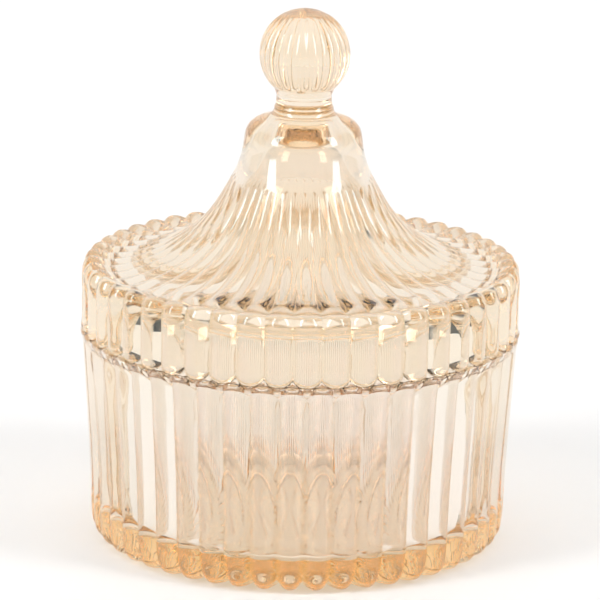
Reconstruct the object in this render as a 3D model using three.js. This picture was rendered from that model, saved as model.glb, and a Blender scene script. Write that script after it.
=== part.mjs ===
// Pressed-glass apothecary jar with a lift-off lid.
// Units are millimetres, +Z is up, and the origin is the centre of the underside.
// Two solids, each pressed in one piece: the ribbed jar body, and the lid with
// its skirt, fluted disc, bell, neck and melon-lobed ball knob.
import * as THREE from 'three';

// ---------- driving dimensions (mm) ----------
const RIB_COUNT = 48;            // convex vertical ribs on the body and on the lid skirt
const RIM_RADIUS = 53.0;         // outer edge of the scalloped rim, on the body's crests
const RIM_CREST_Z = 52.6;        // highest points of the rim, over the body's crests
const RIM_VALLEY_Z = 51.05;      // lowest points of the rim, over the body's valleys
const BODY_RADIUS_TOP = 52.2;    // rib crests under the rim's flare
const BODY_RADIUS_FOOT = 50.15;  // rib crests just above the rounded heel
const RIB_DEPTH = 1.8;           // crest to valley on the walls
const MOUTH_RADIUS = 48.9;       // inner wall at the mouth
const FLOOR_RADIUS = 46.9;       // inner wall where it meets the floor fillet
const FLOOR_TOP = 7.0;           // thickness of the solid base
const FOOT_RECESS_RADIUS = 30.0; // shallow hollow pressed in the underside
const FOOT_RECESS_DEPTH = 1.1;
const REBATE_RADIUS = 50.8;      // step inside the rim that keeps the lid centred
const REBATE_Z = 50.0;

const SKIRT_RADIUS = 52.6;       // rib crests of the lid skirt
const SKIRT_TOP = 68.35;         // top of the rounded rib ends
const SKIRT_INNER_RADIUS = 48.9;
const TONGUE_Z = 50.3;           // foot of the ring that reaches down into the rebate
const FLUTE_END_RADIUS = 17.1;   // ring on the bell where the flutes stop
const FLUTE_END_Z = 88.3;
const BELL_SHOULDER_RADIUS = 14.0;
const BELL_CEILING_Z = 98.4;     // flat end of the hollow in the bell
const BELL_CEILING_RADIUS = 4.4;
const NECK_RADIUS = 6.6;
const KNOB_RADIUS = 10.85;
const KNOB_CENTRE_Z = 118.45;
const KNOB_LOBES = 24;
const KNOB_LOBE_DEPTH = 0.35;

// ---------- ring-stack solids ----------
// A solid is a stack of closed rings around the Z axis, from a point on the axis to a
// point on the axis. Following the rings, the glass lies on the left of the profile
// (r to the right, z up), so every face points out of the glass.
// A ring is {n, at(theta) -> [r, z]}; neighbouring rings have equal, double or half the
// number of segments.
const TAU = Math.PI * 2;

const circle = (n, r, z) => ({ n, at: () => [r, z] });

// Height of a convex rib across its pitch: 1 on the crest, 0 in the valley, with a round
// crest and a sharp valley. u is 0 in the valley and 1 in the next one.
const ribHeight = (u) => 1 - Math.pow(Math.abs(2 * u - 1), 2.2);

// A ribbed ring: crest and valley each have their own radius and height.
// phase is the position of a valley, in pitches.
const ribbed = (n, count, phase, rCrest, zCrest, rValley, zValley) => ({
  n,
  at: (theta) => {
    let u = (theta * count) / TAU - phase;
    u -= Math.floor(u + 1e-9);
    if (u < 0) u = 0;
    const h = ribHeight(u);
    return [rValley + (rCrest - rValley) * h, zValley + (zCrest - zValley) * h];
  },
});

function ringSolid(zStart, rings, zEnd) {
  const position = [];
  const index = [];
  const point = (r, theta, z) => {
    position.push(r * Math.cos(theta), r * Math.sin(theta), z);
    return position.length / 3 - 1;
  };
  const loops = rings.map((ring) => {
    const loop = [];
    for (let k = 0; k < ring.n; k++) {
      const theta = (TAU * k) / ring.n;
      const [r, z] = ring.at(theta);
      loop.push(point(r, theta, z));
    }
    return loop;
  });
  const first = loops[0];
  const start = point(0, 0, zStart);
  for (let k = 0; k < first.length; k++) {
    index.push(start, first[(k + 1) % first.length], first[k]);
  }
  for (let i = 0; i + 1 < loops.length; i++) {
    const a = loops[i];
    const b = loops[i + 1];
    if (a.length === b.length) {
      for (let k = 0; k < a.length; k++) {
        const m = (k + 1) % a.length;
        index.push(a[k], a[m], b[m], a[k], b[m], b[k]);
      }
    } else if (a.length === 2 * b.length) {
      for (let k = 0; k < b.length; k++) {
        const m = (k + 1) % b.length;
        const a0 = a[2 * k];
        const a1 = a[2 * k + 1];
        const a2 = a[(2 * k + 2) % a.length];
        index.push(a0, a1, b[k], a1, b[m], b[k], a1, a2, b[m]);
      }
    } else {
      for (let k = 0; k < a.length; k++) {
        const m = (k + 1) % a.length;
        const b0 = b[2 * k];
        const b1 = b[2 * k + 1];
        const b2 = b[(2 * k + 2) % b.length];
        index.push(a[k], b1, b0, a[k], a[m], b1, a[m], b2, b1);
      }
    }
  }
  const last = loops[loops.length - 1];
  const end = point(0, 0, zEnd);
  for (let k = 0; k < last.length; k++) {
    index.push(last[k], last[(k + 1) % last.length], end);
  }
  const geometry = new THREE.BufferGeometry();
  geometry.setAttribute('position', new THREE.Float32BufferAttribute(position, 3));
  geometry.setIndex(index);
  geometry.computeVertexNormals();
  return geometry;
}

// ---------- jar body ----------
// Body valleys lie on theta = 0. The ribs are rounded in at the heel, so the foot is
// scalloped. At the top they flare into a scalloped rim: its outer edge follows the
// body's own ribs, and its upper edge is cut to the rib ends of the lid, whose crests
// dip into the body's valleys.
const FINE = RIB_COUNT * 4;
const MID = RIB_COUNT * 2;
const COARSE = RIB_COUNT;
const bodyRib = (rCrest, zCrest, rValley, zValley) =>
  ribbed(FINE, RIB_COUNT, 0, rCrest, zCrest, rValley, zValley);
const lidRib = (rCrest, zCrest, rValley, zValley) =>
  ribbed(FINE, RIB_COUNT, 0.5, rCrest, zCrest, rValley, zValley);

const bodyRings = [
  circle(COARSE, FOOT_RECESS_RADIUS - 2.5, FOOT_RECESS_DEPTH * 0.8),
  circle(MID, FOOT_RECESS_RADIUS, 0),
  bodyRib(45.2, 0, 40.6, 0),
  bodyRib(48.4, 1.15, 45.4, 2.35),
  bodyRib(49.9, 3.8, 47.75, 4.9),
  bodyRib(BODY_RADIUS_FOOT, 7.0, BODY_RADIUS_FOOT - RIB_DEPTH, 7.6),
  bodyRib(51.0, 27.0, 51.0 - RIB_DEPTH, 27.2),
  bodyRib(BODY_RADIUS_TOP, 45.4, BODY_RADIUS_TOP - RIB_DEPTH, 45.2),
  bodyRib(52.55, 49.3, 50.75, 47.8),
  bodyRib(RIM_RADIUS, 51.0, RIM_RADIUS - 1.05, 49.1),
  lidRib(REBATE_RADIUS + 1.4, RIM_VALLEY_Z, REBATE_RADIUS + 0.2, RIM_CREST_Z),
  circle(MID, REBATE_RADIUS, REBATE_Z + 0.9),
  circle(MID, REBATE_RADIUS, REBATE_Z),
  circle(MID, MOUTH_RADIUS + 0.4, REBATE_Z),
  circle(MID, MOUTH_RADIUS, REBATE_Z - 0.6),
  circle(MID, FLOOR_RADIUS, 11.2),
  circle(MID, FLOOR_RADIUS - 0.8, 8.8),
  circle(COARSE, FLOOR_RADIUS - 2.6, FLOOR_TOP + 0.3),
  circle(COARSE, FLOOR_RADIUS - 6.0, FLOOR_TOP),
];

// ---------- lid ----------
// Lid crests lie on theta = 0, over the body's valleys.
const lidFlute = (rCrest, zCrest, rValley, zValley) =>
  ribbed(MID, RIB_COUNT, 0.5, rCrest, zCrest, rValley, zValley);

const bellInside = [
  circle(COARSE, BELL_CEILING_RADIUS, BELL_CEILING_Z),
  circle(COARSE, 6.0, BELL_CEILING_Z - 0.3),
  circle(COARSE, 7.2, BELL_CEILING_Z - 0.85),
  circle(COARSE, 8.6, BELL_CEILING_Z - 2.7),
  circle(COARSE, 9.95, BELL_CEILING_Z - 5.6),
  circle(COARSE, 12.1, 89.6),
  circle(COARSE, 14.2, 86.0),
  circle(COARSE, 17.1, 81.2),
  circle(COARSE, 20.7, 76.3),
  circle(COARSE, 26.0, 71.7),
  circle(COARSE, 32.0, 68.4),
  circle(COARSE, 38.5, 66.5),
  circle(MID, 43.2, 65.9),
  circle(MID, 45.5, 65.15),
  circle(MID, SKIRT_INNER_RADIUS - 1.8, 64.1),
  circle(MID, SKIRT_INNER_RADIUS - 0.8, 62.6),
  circle(MID, SKIRT_INNER_RADIUS - 0.05, 58.0),
  circle(MID, SKIRT_INNER_RADIUS + 0.2, TONGUE_Z + 0.4),
  circle(MID, SKIRT_INNER_RADIUS + 0.5, TONGUE_Z),
  circle(MID, REBATE_RADIUS - 0.4, TONGUE_Z),
  circle(MID, REBATE_RADIUS - 0.35, TONGUE_Z + 0.9),
];
const skirtOutside = [
  lidRib(51.6, 51.35, 50.6, 52.85),
  lidRib(52.3, 51.75, 50.75, 53.15),
  lidRib(SKIRT_RADIUS, 53.0, SKIRT_RADIUS - RIB_DEPTH, 54.0),
  lidRib(SKIRT_RADIUS, 64.8, SKIRT_RADIUS - RIB_DEPTH, 64.2),
  lidRib(SKIRT_RADIUS - 0.5, 67.1, SKIRT_RADIUS - RIB_DEPTH - 0.4, 66.2),
  lidRib(SKIRT_RADIUS - 2.0, SKIRT_TOP, SKIRT_RADIUS - RIB_DEPTH - 1.5, SKIRT_TOP - 1.0),
  lidRib(SKIRT_RADIUS - 4.5, 67.8, SKIRT_RADIUS - RIB_DEPTH - 3.2, 67.15),
];
const fluted = [
  lidFlute(44.4, 67.6, 44.2, 66.7),
  lidFlute(41.0, 68.25, 40.8, 67.3),
  lidFlute(34.0, 70.65, 33.7, 69.8),
  lidFlute(28.0, 74.0, 27.65, 73.45),
  lidFlute(23.3, 78.4, 22.95, 78.15),
  lidFlute(19.9, 83.2, 19.65, 83.05),
  lidFlute(FLUTE_END_RADIUS, FLUTE_END_Z, FLUTE_END_RADIUS - 0.15, FLUTE_END_Z),
];
const bellOutside = [
  circle(COARSE, FLUTE_END_RADIUS - 0.2, FLUTE_END_Z + 0.3),
  circle(COARSE, 15.6, 91.6),
  circle(COARSE, 14.5, 95.4),
  circle(COARSE, BELL_SHOULDER_RADIUS, 98.8),
  circle(COARSE, BELL_SHOULDER_RADIUS - 0.5, 100.6),
  circle(COARSE, BELL_SHOULDER_RADIUS - 1.7, 102.1),
  circle(COARSE, BELL_SHOULDER_RADIUS - 3.8, 103.2),
  circle(COARSE, NECK_RADIUS + 1.2, 104.0),
  circle(COARSE, NECK_RADIUS + 0.5, 105.2),
  circle(COARSE, NECK_RADIUS + 0.15, 106.8),
  circle(COARSE, NECK_RADIUS, 109.6),
];

// The knob is a ball with vertical melon lobes and a small smooth cap.
const knobRings = [];
const KNOB_BOTTOM_ANGLE = -0.88; // where the ball meets the neck, from the equator
const KNOB_CAP_ANGLE = 1.17;     // where the lobes stop under the cap
const KNOB_STEPS = 8;
for (let i = 0; i <= KNOB_STEPS; i++) {
  const a = KNOB_BOTTOM_ANGLE + ((KNOB_CAP_ANGLE - KNOB_BOTTOM_ANGLE) * i) / KNOB_STEPS;
  const fade = Math.sin(Math.PI * Math.min(1, Math.max(0, (i + 0.6) / (KNOB_STEPS + 1.2))));
  const r = KNOB_RADIUS * Math.cos(a);
  const z = KNOB_CENTRE_Z + KNOB_RADIUS * Math.sin(a);
  knobRings.push(
    ribbed(COARSE, KNOB_LOBES, 0, r, z, r - KNOB_LOBE_DEPTH * fade, z),
  );
}
knobRings.push(circle(COARSE, KNOB_RADIUS * 0.19, KNOB_CENTRE_Z + KNOB_RADIUS * 0.98));

// ---------- scene graph ----------
const glass = () =>
  new THREE.MeshStandardMaterial({ color: 0xe8c79a, roughness: 0.05, metalness: 0.0 });

const jarBody = new THREE.Mesh(
  ringSolid(FOOT_RECESS_DEPTH, bodyRings, FLOOR_TOP),
  glass(),
);
jarBody.name = 'jar_body';

const lid = new THREE.Mesh(
  ringSolid(
    BELL_CEILING_Z,
    [...bellInside, ...skirtOutside, ...fluted, ...bellOutside, ...knobRings],
    KNOB_CENTRE_Z + KNOB_RADIUS,
  ),
  glass(),
);
lid.name = 'lid';

const jar = new THREE.Group();
jar.add(jarBody, lid);

export default jar;
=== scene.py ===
import math

import bpy
import numpy as np
from mathutils import Matrix, Vector


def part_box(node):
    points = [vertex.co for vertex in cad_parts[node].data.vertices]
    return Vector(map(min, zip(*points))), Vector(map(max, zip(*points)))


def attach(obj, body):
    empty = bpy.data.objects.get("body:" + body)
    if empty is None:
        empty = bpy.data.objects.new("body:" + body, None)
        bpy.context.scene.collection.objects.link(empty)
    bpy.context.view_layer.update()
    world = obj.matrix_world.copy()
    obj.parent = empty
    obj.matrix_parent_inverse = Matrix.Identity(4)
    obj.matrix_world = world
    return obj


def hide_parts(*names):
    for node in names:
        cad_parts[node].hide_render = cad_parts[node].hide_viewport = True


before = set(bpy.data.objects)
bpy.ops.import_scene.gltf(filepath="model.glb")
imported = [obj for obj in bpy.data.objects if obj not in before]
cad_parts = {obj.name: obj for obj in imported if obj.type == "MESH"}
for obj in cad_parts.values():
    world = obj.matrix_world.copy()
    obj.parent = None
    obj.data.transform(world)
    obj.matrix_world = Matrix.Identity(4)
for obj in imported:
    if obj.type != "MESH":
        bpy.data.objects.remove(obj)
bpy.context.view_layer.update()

TAU = 2.0 * math.pi
MM = 0.001

# The top of the knob comes from the CAD box of the lid.
lid_lo, lid_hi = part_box("lid")
TOP_Z = lid_hi[2] / MM           # 129.3

RIBS = 48
LOBES = 24
FINE = RIBS * 12                 # points round a ribbed ring
SMOOTH = FINE // 3               # points round a plain ring
KNOB_N = LOBES * 16              # a whole multiple of SMOOTH, so the rings zip together


# ---------------------------------------------------------------- mesh tools
def arch(u, power=2.15):
    """Height of a convex rib across its pitch: 0 in the sharp valley, 1 on the crest."""
    return 1.0 - np.abs(2.0 * u - 1.0) ** power


def ring(n, count=0, phase=0.0, crest=(0, 0), valley=None, power=2.15):
    """Points of one ring round Z, in mm. With a count it is ribbed between its valley and its crest."""
    t = TAU * np.arange(n) / n
    if valley is None:
        r = np.full(n, crest[0], float)
        z = np.full(n, crest[1], float)
    else:
        u = (t * count / TAU - phase) % 1.0
        u[u > 1 - 1e-7] = 0.0
        h = arch(u, power)
        r = valley[0] + (crest[0] - valley[0]) * h
        z = valley[1] + (crest[1] - valley[1]) * h
    return np.stack([r * np.cos(t), r * np.sin(t), z], 1)


def spline(keys, steps):
    """A smooth curve through the keys (Catmull-Rom on chord length), with steps points to each span."""
    k = np.array(keys, float)
    d = np.maximum(np.linalg.norm(np.diff(k, axis=0), axis=1), 1e-6)
    s = np.concatenate([[0], np.cumsum(d)])
    m = np.zeros_like(k)
    m[1:-1] = ((k[1:-1] - k[:-2]) / d[:-1, None] * d[1:, None] + (k[2:] - k[1:-1]) / d[1:, None] * d[:-1, None]) / (d[:-1] + d[1:])[:, None]
    m[0] = (k[1] - k[0]) / d[0]
    m[-1] = (k[-1] - k[-2]) / d[-1]
    out = []
    for i in range(len(k) - 1):
        n = steps if isinstance(steps, int) else steps[i]
        for j in range(n):
            t = j / n
            h00 = 2 * t**3 - 3 * t**2 + 1
            h10 = t**3 - 2 * t**2 + t
            h01 = -2 * t**3 + 3 * t**2
            h11 = t**3 - t**2
            out.append(h00 * k[i] + h10 * d[i] * m[i] + h01 * k[i + 1] + h11 * d[i] * m[i + 1])
    out.append(k[-1])
    return np.array(out)


def ring_mesh(name, z_start, rings, z_end):
    """A closed mesh from rings of points. Neighbouring rings have equal counts, or one is a whole multiple of the other."""
    verts = [np.array([[0, 0, z_start]])]
    starts, total = [], 1
    for p in rings:
        starts.append(total)
        verts.append(p)
        total += len(p)
    verts.append(np.array([[0, 0, z_end]]))
    faces = []
    n = len(rings[0])
    a = starts[0]
    for k in range(n):
        faces.append((0, a + (k + 1) % n, a + k))
    for i in range(len(rings) - 1):
        na, nb = len(rings[i]), len(rings[i + 1])
        a, b = starts[i], starts[i + 1]
        if na == nb:
            for k in range(na):
                m = (k + 1) % na
                faces.append((a + k, a + m, b + m, b + k))
        elif na > nb:
            q = na // nb
            half = (q + 1) // 2
            for k in range(nb):
                m = (k + 1) % nb
                ids = [a + (q * k + j) % na for j in range(q + 1)]
                for j in range(half):
                    faces.append((ids[j], ids[j + 1], b + k))
                faces.append((ids[half], b + m, b + k))
                for j in range(half, q):
                    faces.append((ids[j], ids[j + 1], b + m))
        else:
            q = nb // na
            half = (q + 1) // 2
            for k in range(na):
                m = (k + 1) % na
                ids = [b + (q * k + j) % nb for j in range(q + 1)]
                for j in range(half):
                    faces.append((a + k, ids[j + 1], ids[j]))
                faces.append((a + k, a + m, ids[half]))
                for j in range(half, q):
                    faces.append((a + m, ids[j + 1], ids[j]))
    n = len(rings[-1])
    a = starts[-1]
    for k in range(n):
        faces.append((a + k, a + (k + 1) % n, total))
    mesh = bpy.data.meshes.new(name)
    mesh.from_pydata((np.concatenate(verts) * MM).tolist(), [], faces)
    mesh.validate()
    mesh.polygons.foreach_set("use_smooth", [True] * len(mesh.polygons))
    mesh.set_sharp_from_angle(angle=math.radians(33))
    mesh.update()
    obj = bpy.data.objects.new(name, mesh)
    bpy.context.scene.collection.objects.link(obj)
    return obj


def plain(keys, steps, n=SMOOTH, skip_last=False):
    pts = spline(keys, steps)
    if skip_last:
        pts = pts[:-1]
    return [ring(n, crest=(r, z)) for r, z in pts]


def ribbed(keys, steps, count=RIBS, phase=0.0, n=FINE, power=2.15, skip_last=False):
    """keys: (crest r, crest z, valley r, valley z)."""
    pts = spline(keys, steps)
    if skip_last:
        pts = pts[:-1]
    return [ring(n, count, phase, (p[0], p[1]), (p[2], p[3]), power) for p in pts]


# ---------------------------------------------------------------- jar body
# Valleys on theta = 0. Path: underside, scalloped foot, heel, wall, lip, rim, rebate, inside wall, floor.
body_rings = []
body_rings += plain([(3, 1.1), (14, 1.1), (24, 1.05), (27.6, 0.9), (29.2, 0.35), (30.2, 0.05), (31.5, 0.0), (38.0, 0.0)], [2, 2, 2, 3, 3, 2, 1])
body_rings += ribbed(
    [
        (43.4, 0.00, 40.2, 0.00),
        (45.2, 0.06, 41.0, 0.30),
        (46.9, 0.40, 43.2, 1.35),
        (48.4, 1.15, 45.4, 2.35),
        (49.4, 2.30, 46.9, 3.30),
        (49.9, 3.80, 47.75, 4.90),
        (50.12, 6.00, 48.3, 7.20),
        (50.2, 8.60, 48.4, 9.40),
        (51.0, 27.0, 49.2, 27.4),
        (51.75, 38.0, 49.95, 38.2),
        (52.2, 45.4, 50.4, 45.2),
        (52.4, 48.0, 50.6, 46.9),
        (52.55, 49.3, 50.75, 47.8),
        (52.75, 50.05, 51.1, 48.35),
        (52.95, 50.7, 51.75, 48.9),
        (52.97, 51.2, 52.0, 49.3),
        (52.88, 51.55, 52.05, 49.7),
    ],
    [2, 3, 3, 3, 3, 3, 2, 6, 5, 3, 3, 3, 3, 3, 2, 2],
)
# The rim is scalloped: from its outer edge, which follows the body's own ribs, it slopes up
# to an upper edge cut to the lid's rib ends, so that the lid's crests dip into the body's valleys.
outer_edge = ribbed([(52.88, 51.55, 52.05, 49.7)] * 2, 1)[0]
upper_edge = ribbed([(52.2, 51.05, 51.0, 52.6)] * 2, 1, phase=0.5)[0]
for s in (0.25, 0.5, 0.75, 0.93):
    body_rings.append(outer_edge + (upper_edge - outer_edge) * s + np.array([0, 0, 0.10 * math.sin(math.pi * s)]))
body_rings += ribbed(
    [(51.98, 51.08, 50.92, 52.66), (51.7, 51.02, 50.86, 52.5), (51.2, 50.98, 50.82, 51.8), (50.8, 50.7, 50.8, 50.7)],
    [2, 2, 1],
    phase=0.5,
)
body_rings += plain(
    [(50.8, 50.5), (50.78, 50.2), (50.68, 50.04), (50.5, 50.0), (49.7, 50.0), (49.25, 49.9), (49.0, 49.6), (48.9, 49.1), (48.3, 38.0), (47.5, 24.5), (46.9, 12.2), (46.72, 10.4), (46.2, 9.0), (45.3, 7.95), (44.0, 7.3), (42.4, 7.03), (40.0, 7.0), (24.0, 7.0), (8.0, 7.0)],
    [1, 1, 1, 2, 2, 1, 2, 3, 3, 3, 3, 2, 2, 2, 2, 1, 2, 1],
)
jar_glass = ring_mesh("jar_body_glass", 1.1, body_rings, 7.0)


# ---------------------------------------------------------------- lid
# Crests on theta = 0. Path: cavity ceiling, bell inside, skirt inside, tongue, seat, skirt lip, skirt, rounded rib ends, flutes, bell, neck, knob.
CEIL = 98.4
inside = plain(
    [(1.6, CEIL), (4.4, CEIL - 0.04), (6.0, CEIL - 0.3), (7.2, CEIL - 0.85), (8.0, CEIL - 1.65), (8.6, CEIL - 2.7), (9.2, CEIL - 4.1), (9.95, CEIL - 5.6), (10.95, CEIL - 7.2), (12.1, 89.6), (14.2, 86.0), (17.1, 81.2), (20.7, 76.3), (26.0, 71.7), (32.0, 68.4), (38.5, 66.5), (43.2, 65.9), (45.5, 65.15), (47.1, 64.1), (48.1, 62.6), (48.62, 60.5), (48.88, 57.8), (49.05, 51.2), (49.15, 50.7), (49.4, 50.38), (49.8, 50.3), (50.2, 50.33), (50.4, 50.5), (50.45, 50.75)],
    [2, 2, 2, 3, 3, 3, 3, 3, 3, 3, 4, 4, 4, 4, 4, 3, 4, 4, 4, 4, 3, 2, 3, 2, 2, 1, 1, 1],
)
lid_rings = list(inside)
PH = 0.5
# The rib ends under the skirt: rounded, low on the crests and high in the valleys.
skirt = [
    (50.52, 51.12, 50.46, 51.6),
    (50.9, 51.26, 50.52, 52.4),
    (51.6, 51.3, 50.58, 52.85),
    (52.1, 51.5, 50.66, 53.0),
    (52.42, 51.95, 50.76, 53.22),
    (52.55, 52.5, 50.82, 53.6),
    (52.6, 53.4, 50.85, 54.2),
    (52.62, 56.0, 50.85, 56.2),
    (52.62, 60.0, 50.85, 60.0),
    (52.62, 64.6, 50.85, 64.0),
    (52.5, 65.9, 50.75, 65.2),
    (52.1, 67.1, 50.45, 66.2),
    (51.45, 67.95, 49.95, 66.95),
    (50.6, 68.35, 49.3, 67.35),
    (49.6, 68.3, 48.6, 67.4),
    (48.7, 68.0, 48.0, 67.25),
    (47.9, 67.7, 47.3, 67.0),
    (46.6, 67.5, 46.3, 66.75),
]
lid_rings += ribbed(skirt, [2, 2, 2, 3, 3, 2, 2, 3, 4, 3, 4, 4, 4, 4, 3, 3, 2], phase=PH)
disc = [(46.6, 67.5), (44.4, 67.65), (41.0, 68.25), (37.5, 69.25), (34.0, 70.65), (31.0, 72.2), (28.0, 74.1), (25.5, 76.05), (23.3, 78.35), (21.5, 80.65), (19.9, 83.2), (18.4, 85.8), (17.1, 88.3)]
dense = spline(disc, 3)
tangent = np.gradient(dense, axis=0)
tangent /= np.linalg.norm(tangent, axis=1)[:, None]
into = np.stack([-tangent[:, 1], tangent[:, 0]], 1)          # left of the path is inside the glass
depth = np.interp(dense[:, 0], [17.1, 20, 24, 30, 38, 44.4, 46.6], [0.15, 0.27, 0.43, 0.68, 0.86, 0.90, 0.88])
for p, v, dd in list(zip(dense, into, depth))[1:]:
    q = p + v * dd
    lid_rings.append(ring(FINE, RIBS, PH, tuple(p), tuple(q)))
# Smooth upper bell, shoulder, neck with its collar line, and the throat of the knob.
upper = [
    (16.98, 88.45), (16.3, 89.8), (15.6, 91.5), (14.95, 93.5), (14.5, 95.4), (14.22, 97.2), (14.02, 98.7), (13.75, 99.85), (13.3, 100.8), (12.6, 101.65), (11.6, 102.35), (10.5, 102.85), (9.4, 103.2), (8.4, 103.6), (7.65, 104.1), (7.25, 104.7), (7.1, 105.3), (7.05, 105.75), (6.92, 106.0), (6.78, 106.25), (6.68, 107.1), (6.62, 108.1), (6.64, 108.8), (6.78, 109.15),
]
lid_rings += plain(upper, 2)
KC, KR = 118.45, TOP_Z - 118.45
knob = []
angles = np.linspace(-0.79, 1.08, 34)
for i, a in enumerate(angles):
    r, z = KR * math.cos(a), KC + KR * math.sin(a)
    if z < 112.4:                        # the ball fills out towards the neck
        r = r + 0.12 * min(1.0, (112.4 - z) / 1.6)
    w = min(1.0, (i + 0.0) / 2.5) * min(1.0, (len(angles) - 1 - i) / 2.0)
    dd = 0.36 * w * (0.55 + 0.45 * math.cos(a))
    knob.append(ring(KNOB_N, LOBES, 0.0, (r, z), (r - dd * math.cos(a) , z - dd * math.sin(a)), 2.0))
lid_rings += [ring(KNOB_N, crest=(6.98, 109.6)), ring(KNOB_N, crest=(7.2, 110.3))]
lid_rings += [k for k in knob if k[:, 2].min() > 110.5]
for a in np.linspace(1.12, 1.52, 9):
    lid_rings.append(ring(KNOB_N, crest=(KR * math.cos(a), KC + KR * math.sin(a))))
lid_glass = ring_mesh("lid_glass", CEIL, lid_rings, TOP_Z)


# ---------------------------------------------------------------- glass
def make_glass(name, tint_a, tint_b, tint_low, fade, marks):
    """Pressed champagne glass with a thin lustre coat, whose tint goes over to tint_low below the two heights in fade. marks is the pitch in metres of the turning marks the mould left on the base, or 0."""
    m = bpy.data.materials.new(name)
    m.use_nodes = True
    nt = m.node_tree
    nt.nodes.clear()
    out = nt.nodes.new("ShaderNodeOutputMaterial")
    bsdf = nt.nodes.new("ShaderNodeBsdfPrincipled")
    bsdf.inputs["Transmission Weight"].default_value = 1.0
    bsdf.inputs["IOR"].default_value = 1.5
    bsdf.inputs["Thin Film Thickness"].default_value = FILM_NM
    bsdf.inputs["Thin Film IOR"].default_value = FILM_IOR
    nt.links.new(bsdf.outputs["BSDF"], out.inputs["Surface"])

    coord = nt.nodes.new("ShaderNodeTexCoord")
    # Colour: a champagne lustre that drifts a little towards pink in soft clouds.
    clouds = nt.nodes.new("ShaderNodeTexNoise")
    clouds.inputs["Scale"].default_value = 26.0
    clouds.inputs["Detail"].default_value = 2.0
    nt.links.new(coord.outputs["Object"], clouds.inputs["Vector"])
    ramp = nt.nodes.new("ShaderNodeValToRGB")
    ramp.color_ramp.elements[0].position = 0.36
    ramp.color_ramp.elements[0].color = (*tint_a, 1)
    ramp.color_ramp.elements[1].position = 0.66
    ramp.color_ramp.elements[1].color = (*tint_b, 1)
    nt.links.new(clouds.outputs["Fac"], ramp.inputs["Fac"])
    sep = nt.nodes.new("ShaderNodeSeparateXYZ")
    nt.links.new(coord.outputs["Object"], sep.inputs["Vector"])
    level = nt.nodes.new("ShaderNodeMapRange")
    level.interpolation_type = "SMOOTHSTEP"
    level.inputs["From Min"].default_value = fade[0]
    level.inputs["From Max"].default_value = fade[1]
    nt.links.new(sep.outputs["Z"], level.inputs["Value"])
    mix = nt.nodes.new("ShaderNodeMix")
    mix.data_type = "RGBA"
    mix.inputs[6].default_value = (*tint_low, 1)
    nt.links.new(level.outputs["Result"], mix.inputs[0])
    nt.links.new(ramp.outputs["Color"], mix.inputs[7])
    nt.links.new(mix.outputs[2], bsdf.inputs["Base Color"])

    # Fire-polished surface: nearly clear, with slightly duller patches from the mould.
    patches = nt.nodes.new("ShaderNodeTexNoise")
    patches.inputs["Scale"].default_value = 90.0
    patches.inputs["Detail"].default_value = 3.0
    nt.links.new(coord.outputs["Object"], patches.inputs["Vector"])
    rough = nt.nodes.new("ShaderNodeMapRange")
    rough.inputs["From Min"].default_value = 0.35
    rough.inputs["From Max"].default_value = 0.75
    rough.inputs["To Min"].default_value = 0.0
    rough.inputs["To Max"].default_value = 0.03
    nt.links.new(patches.outputs["Fac"], rough.inputs["Value"])
    nt.links.new(rough.outputs["Result"], bsdf.inputs["Roughness"])

    # Chill marks: shallow waves left by pressing.
    waves = nt.nodes.new("ShaderNodeTexNoise")
    waves.inputs["Scale"].default_value = 150.0
    waves.inputs["Detail"].default_value = 2.0
    nt.links.new(coord.outputs["Object"], waves.inputs["Vector"])
    bump = nt.nodes.new("ShaderNodeBump")
    bump.inputs["Strength"].default_value = 0.10
    bump.inputs["Distance"].default_value = 0.0004
    nt.links.new(waves.outputs["Fac"], bump.inputs["Height"])
    normal = bump.outputs["Normal"]

    if marks:
        # Turning marks: fine concentric ridges on the base, below 9 mm.
        def calc(op, a, b=None):
            n = nt.nodes.new("ShaderNodeMath")
            n.operation = op
            for i, v in enumerate((a, b)):
                if isinstance(v, (int, float)):
                    n.inputs[i].default_value = v
                elif v is not None:
                    nt.links.new(v, n.inputs[i])
            return n.outputs[0]

        radius = calc("SQRT", calc("ADD", calc("MULTIPLY", sep.outputs["X"], sep.outputs["X"]), calc("MULTIPLY", sep.outputs["Y"], sep.outputs["Y"])))
        ridge = calc("SINE", calc("MULTIPLY", radius, TAU / marks))
        low = nt.nodes.new("ShaderNodeMapRange")
        low.interpolation_type = "SMOOTHSTEP"
        low.inputs["From Min"].default_value = 0.0088
        low.inputs["From Max"].default_value = 0.0074
        nt.links.new(sep.outputs["Z"], low.inputs["Value"])
        inner = nt.nodes.new("ShaderNodeMapRange")
        inner.interpolation_type = "SMOOTHSTEP"
        inner.inputs["From Min"].default_value = 0.0462
        inner.inputs["From Max"].default_value = 0.0440
        nt.links.new(radius, inner.inputs["Value"])
        height = calc("MULTIPLY", ridge, calc("MULTIPLY", low.outputs["Result"], inner.outputs["Result"]))
        turned = nt.nodes.new("ShaderNodeBump")
        turned.inputs["Strength"].default_value = 1.0
        turned.inputs["Distance"].default_value = MARK_HEIGHT
        nt.links.new(height, turned.inputs["Height"])
        nt.links.new(normal, turned.inputs["Normal"])
        normal = turned.outputs["Normal"]
    nt.links.new(normal, bsdf.inputs["Normal"])

    vol = nt.nodes.new("ShaderNodeVolumeAbsorption")
    vol.inputs["Color"].default_value = (*ABSORB, 1)
    vol.inputs["Density"].default_value = DENSITY
    nt.links.new(vol.outputs["Volume"], out.inputs["Volume"])
    return m


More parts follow.
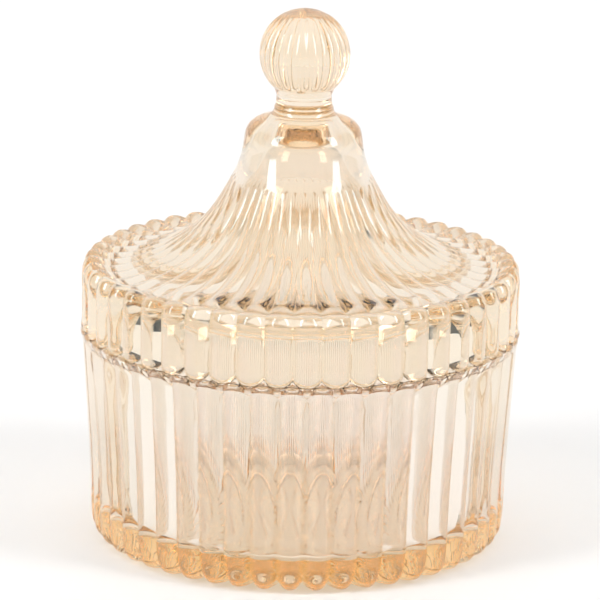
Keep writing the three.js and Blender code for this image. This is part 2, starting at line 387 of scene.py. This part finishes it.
FILM_NM, FILM_IOR = 230.0, 1.6
ABSORB, DENSITY = (0.925, 0.625, 0.10), 20.0
MARK_HEIGHT = 0.00002
glass_body = make_glass("champagne_glass_body", (0.938, 0.902, 0.849), (0.94, 0.89, 0.855), (1.0, 0.992, 0.98), (0.0066, 0.0098), 0.0017)
glass_lid = make_glass("champagne_glass_lid", (0.967, 0.925, 0.855), (0.967, 0.908, 0.862), (0.943, 0.866, 0.757), (0.080, 0.094), 0)
jar_glass.data.materials.append(glass_body)
lid_glass.data.materials.append(glass_lid)

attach(jar_glass, "jar")
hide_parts("jar_body")
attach(lid_glass, "lid")
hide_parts("lid")


# ---------------------------------------------------------------- floor
floor_mesh = bpy.data.meshes.new("floor")
S = 8.0
floor_mesh.from_pydata([(-S, -S, 0), (S, -S, 0), (S, S, 0), (-S, S, 0)], [], [(0, 1, 2, 3)])
floor = bpy.data.objects.new("floor", floor_mesh)
floor.location.z = -0.0002
bpy.context.scene.collection.objects.link(floor)
fm = bpy.data.materials.new("pale_floor")
fm.use_nodes = True
fb = fm.node_tree.nodes["Principled BSDF"]
fb.inputs["Base Color"].default_value = (0.82, 0.82, 0.82, 1)
fb.inputs["Roughness"].default_value = 0.9
fb.inputs["Specular IOR Level"].default_value = 0.1
floor_mesh.materials.append(fm)


# ---------------------------------------------------------------- studio light (world)
scene = bpy.context.scene
world = bpy.data.worlds.new("studio")
scene.world = world
world.use_nodes = True
wt = world.node_tree
wt.nodes.clear()
wout = wt.nodes.new("ShaderNodeOutputWorld")
back = wt.nodes.new("ShaderNodeBackground")
wt.links.new(back.outputs["Background"], wout.inputs["Surface"])
wcoord = wt.nodes.new("ShaderNodeTexCoord")


def wmath(op, a, b=None, clamp=False):
    n = wt.nodes.new("ShaderNodeMath")
    n.operation = op
    n.use_clamp = clamp
    for i, v in enumerate((a, b)):
        if v is None:
            continue
        if isinstance(v, (int, float)):
            n.inputs[i].default_value = v
        else:
            wt.links.new(v, n.inputs[i])
    return n.outputs[0]


def smooth(value, lo, hi):
    n = wt.nodes.new("ShaderNodeMapRange")
    n.interpolation_type = "SMOOTHSTEP"
    n.inputs["From Min"].default_value = lo
    n.inputs["From Max"].default_value = hi
    wt.links.new(value, n.inputs["Value"])
    return n.outputs["Result"]


def panel(azimuth, elevation, width, height, soft):
    """1 inside a rectangular panel seen in that direction, 0 outside. Azimuth 0 is behind the camera (-Y), 90 is +X; degrees."""
    rot = wt.nodes.new("ShaderNodeVectorRotate")
    rot.rotation_type = "Z_AXIS"
    rot.inputs["Angle"].default_value = math.radians(-azimuth)
    wt.links.new(wcoord.outputs["Generated"], rot.inputs["Vector"])
    tilt = wt.nodes.new("ShaderNodeVectorRotate")
    tilt.rotation_type = "X_AXIS"
    tilt.inputs["Angle"].default_value = math.radians(elevation)
    wt.links.new(rot.outputs["Vector"], tilt.inputs["Vector"])
    sep = wt.nodes.new("ShaderNodeSeparateXYZ")
    wt.links.new(tilt.outputs["Vector"], sep.inputs["Vector"])
    ahead = wmath("MULTIPLY", sep.outputs["Y"], -1.0)
    safe = wmath("MAXIMUM", ahead, 0.001)
    x = wmath("ABSOLUTE", wmath("DIVIDE", sep.outputs["X"], safe))
    z = wmath("ABSOLUTE", wmath("DIVIDE", sep.outputs["Z"], safe))
    wx, wz = math.tan(math.radians(width / 2)), math.tan(math.radians(height / 2))
    mx = smooth(x, wx * (1 + soft), wx * (1 - soft))
    mz = smooth(z, wz * (1 + soft), wz * (1 - soft))
    return wmath("MULTIPLY", wmath("MULTIPLY", mx, mz), smooth(ahead, 0.0, 0.05))


wsep = wt.nodes.new("ShaderNodeSeparateXYZ")
wt.links.new(wcoord.outputs["Generated"], wsep.inputs["Vector"])
# White all round and brighter overhead; the side the camera stands on is a dimmer room.
total = wmath("ADD", 1.0, wmath("MULTIPLY", smooth(wsep.outputs["Z"], 0.5, 0.95), 0.1))
room = wmath("MULTIPLY", smooth(wsep.outputs["Y"], 0.15, -0.6), smooth(wsep.outputs["Z"], 0.7, 0.35))
total = wmath("SUBTRACT", total, wmath("MULTIPLY", room, 0.50))
# Two tall soft boxes in front, left and right.
for az, el, w, h, gain in ((-60, 27, 15, 44, 7.0), (62, 27, 15, 44, 6.0)):
    total = wmath("ADD", total, wmath("MULTIPLY", panel(az, el, w, h, 0.12), gain))
# Grey cards at the sides give the glass its dark edges.
for az, el, w, h, drop in ((-98, 8, 34, 60, 0.85), (98, 8, 34, 60, 0.85)):
    total = wmath("SUBTRACT", total, wmath("MULTIPLY", panel(az, el, w, h, 0.35), drop))
total = wmath("MAXIMUM", total, 0.04)
comb = wt.nodes.new("ShaderNodeCombineColor")
for i in range(3):
    wt.links.new(total, comb.inputs[i])
wt.links.new(comb.outputs["Color"], back.inputs["Color"])
back.inputs["Strength"].default_value = 1.0


# ---------------------------------------------------------------- camera
cam_data = bpy.data.cameras.new("camera")
cam = bpy.data.objects.new("camera", cam_data)
scene.collection.objects.link(cam)
scene.camera = cam
AZ, EL, DIST, ROLL = math.radians(-2.05), math.radians(15.5), 1.0, math.radians(1.0)
backward = Vector((math.sin(AZ) * math.cos(EL), -math.cos(AZ) * math.cos(EL), math.sin(EL)))
right = Vector((math.cos(AZ), math.sin(AZ), 0.0))
up = backward.cross(right)
r2 = right * math.cos(ROLL) + up * math.sin(ROLL)
u2 = up * math.cos(ROLL) - right * math.sin(ROLL)
target = Vector((0, 0, 57.84 * MM)) + right * (-0.13 * MM)
m = Matrix((r2, u2, backward)).transposed().to_4x4()
m.translation = target + backward * DIST
cam.matrix_world = m
cam_data.sensor_width = 36.0
cam_data.lens = 4153.6 * 36.0 / 600.0
cam_data.clip_start = 0.05
cam_data.clip_end = 60.0
cam_data.dof.use_dof = False

scene.view_settings.view_transform = "Standard"
scene.view_settings.look = "None"
scene.view_settings.exposure = 0.0
scene.view_settings.gamma = 1.0
cy = scene.cycles
cy.max_bounces = 24
cy.transmission_bounces = 24
cy.glossy_bounces = 12
cy.diffuse_bounces = 3
cy.transparent_max_bounces = 8
cy.volume_bounces = 0
cy.caustics_refractive = True
cy.caustics_reflective = True
cy.blur_glossy = 0.0
cy.use_denoising = True
